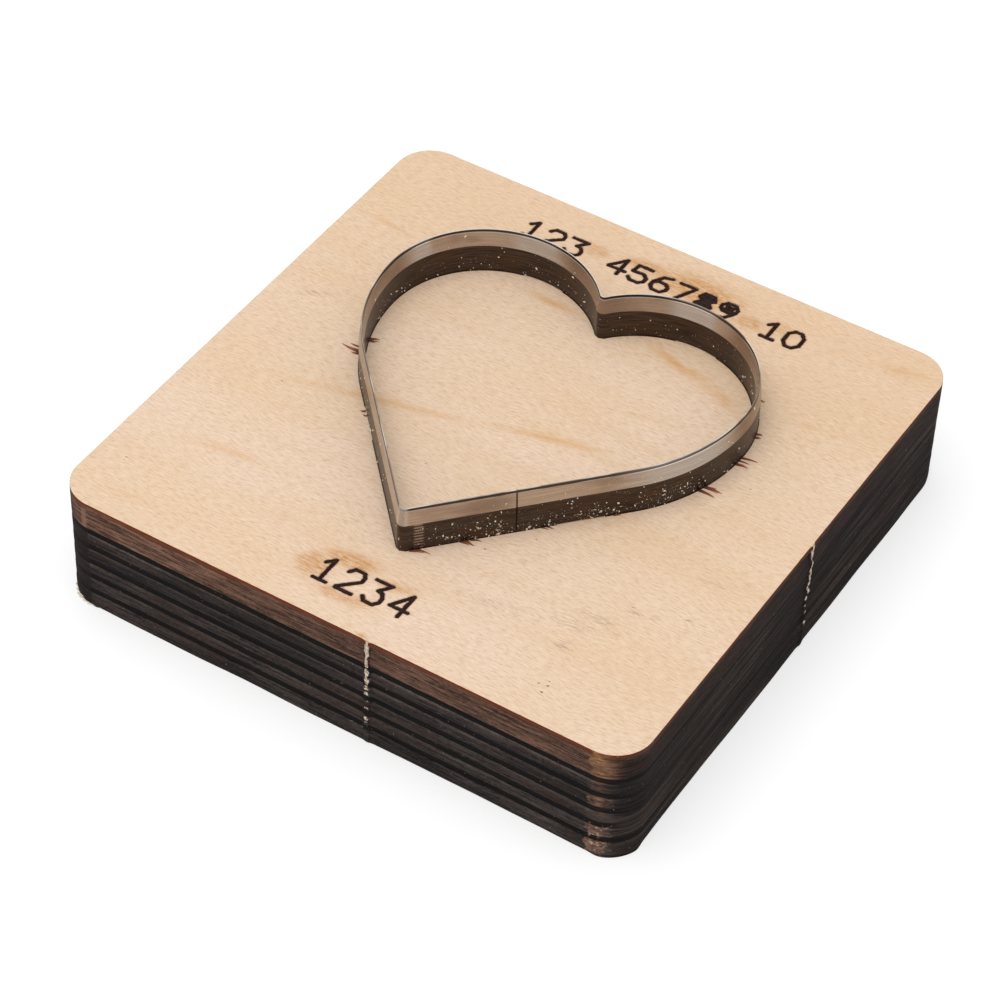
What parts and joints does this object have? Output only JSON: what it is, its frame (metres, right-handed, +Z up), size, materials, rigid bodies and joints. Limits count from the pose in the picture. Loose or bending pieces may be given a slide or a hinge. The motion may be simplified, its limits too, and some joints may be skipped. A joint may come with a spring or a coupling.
{
  "type": "steel rule die",
  "caption": "Square plywood board with a bevelled steel cutting rule, bent to a heart, standing out of its laser-cut kerf; pressed into sheet material to cut heart blanks.",
  "frame": {"origin": "middle of the board's underside", "axes": "+X along the front edge to the right, +Y from the heart's point towards its lobes, +Z up to the cutting edge"},
  "size_m": [0.0802, 0.0802, 0.0238],
  "materials": {
    "face_wood": "sanded veneer",
    "charred_core": "laser-charred edge",
    "charred_cross": "laser-charred edge",
    "rule_steel": "dark oxide body with ground bevels"
  },
  "bodies": {
    "root": {"top_face_ply": "face_wood", "cross_ply_1": "charred_cross", "cross_ply_2": "charred_cross", "cross_ply_3": "charred_cross", "cross_ply_4": "charred_cross", "cross_ply_5": "charred_cross", "core_ply_1": "charred_core", "core_ply_2": "charred_core", "core_ply_3": "charred_core", "core_ply_4": "charred_core", "bottom_face_ply": "charred_core", "cutting_rule": "rule_steel"}
  },
  "joints": []
}
